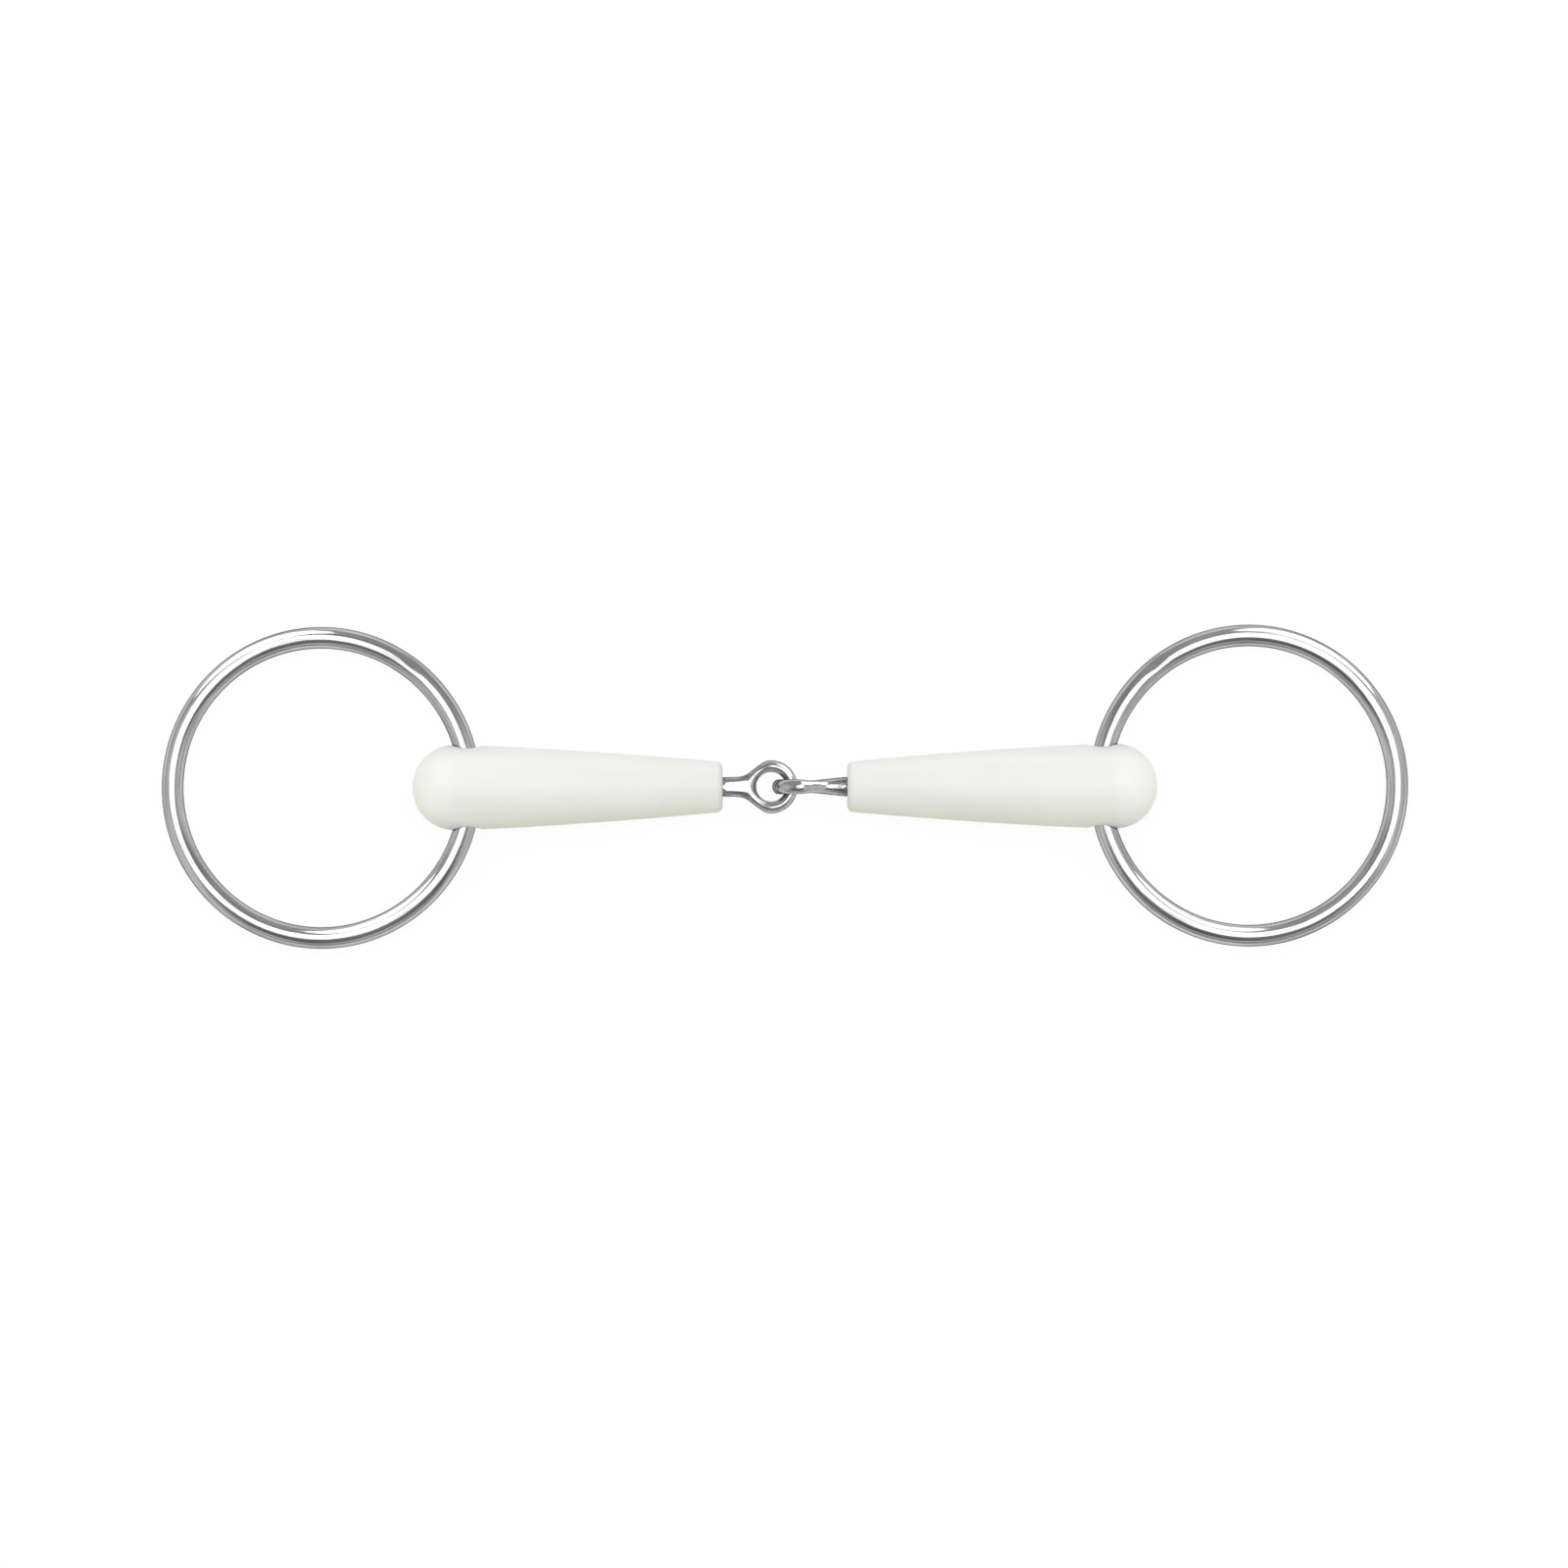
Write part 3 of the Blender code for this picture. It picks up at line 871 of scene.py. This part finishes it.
def make_table_paint():
    """White paint that lets most of the white below show through and keeps a soft shadow."""
    material, nodes, shader = new_material("white_table")
    tree = material.node_tree
    tree.nodes.remove(shader)
    path = nodes.add("ShaderNodeLightPath").outputs
    seen = nodes.plus(path["Is Camera Ray"], path["Is Glossy Ray"])
    seen = nodes.math("MINIMUM", nodes.plus(seen, path["Is Transmission Ray"]), 1)
    place = nodes.axes_of(nodes.add("ShaderNodeNewGeometry").outputs["Position"])
    bounce = nodes.mix(nodes.spread(place["Y"], between=BOUNCE_FADE), FRONT_BOUNCE, BACK_BOUNCE)
    tone = nodes.mix(seen, bounce, TABLE_TONE)
    paint = nodes.add("ShaderNodeBsdfDiffuse", {"Color": tone}).outputs[0]
    through = nodes.add("ShaderNodeBsdfTransparent").outputs[0]
    share = nodes.times(seen, TABLE_CLEAR_SHARE)
    surface = nodes.add("ShaderNodeMixShader", {"Fac": share, 1: paint, 2: through})
    nodes.set(tree.nodes["Material Output"].inputs["Surface"], surface.outputs[0])
    return material


def make_floor():
    half = TABLE_HALF_SIZE
    corners = [(-half, -half, 0), (half, -half, 0), (half, half, 0), (-half, half, 0)]
    mesh = bpy.data.meshes.new("table")
    mesh.from_pydata(corners, [], [(0, 1, 2, 3)])
    mesh.materials.append(make_table_paint())
    floor = bpy.data.objects.new("table", mesh)
    bpy.context.scene.collection.objects.link(floor)


ring_steel = make_ring_steel()
core_steel = make_core_steel()
milky_plastic = make_milky_plastic()

arms = {
    "left": Matrix.Translation((-EYE_X, 0, AXIS_HEIGHT)) @ Matrix.Rotation(pi, 4, "Z"),
    "right": Matrix.Translation((EYE_X, 0, AXIS_HEIGHT)),
}
pieces = {}
for side, arm in arms.items():
    weld_angle = WELD_ANGLE if side == "right" else -WELD_ANGLE
    made = (
        (make_core(side, arm, side == "right"), f"{side}_arm", f"{side}_core", "core_steel"),
        (make_sleeve(side, arm), f"{side}_arm", f"{side}_sleeve", "sleeve_plastic"),
        (make_ring(side, arm, weld_angle), f"{side}_ring", f"{side}_ring", "ring_steel"),
    )
    for piece, body, node, slot in made:
        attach(piece, body)
        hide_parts(node)
        pieces[node] = piece

make_world()
make_floor()
make_lamps(pieces)
make_camera()
bpy.context.scene.view_settings.view_transform = "Standard"
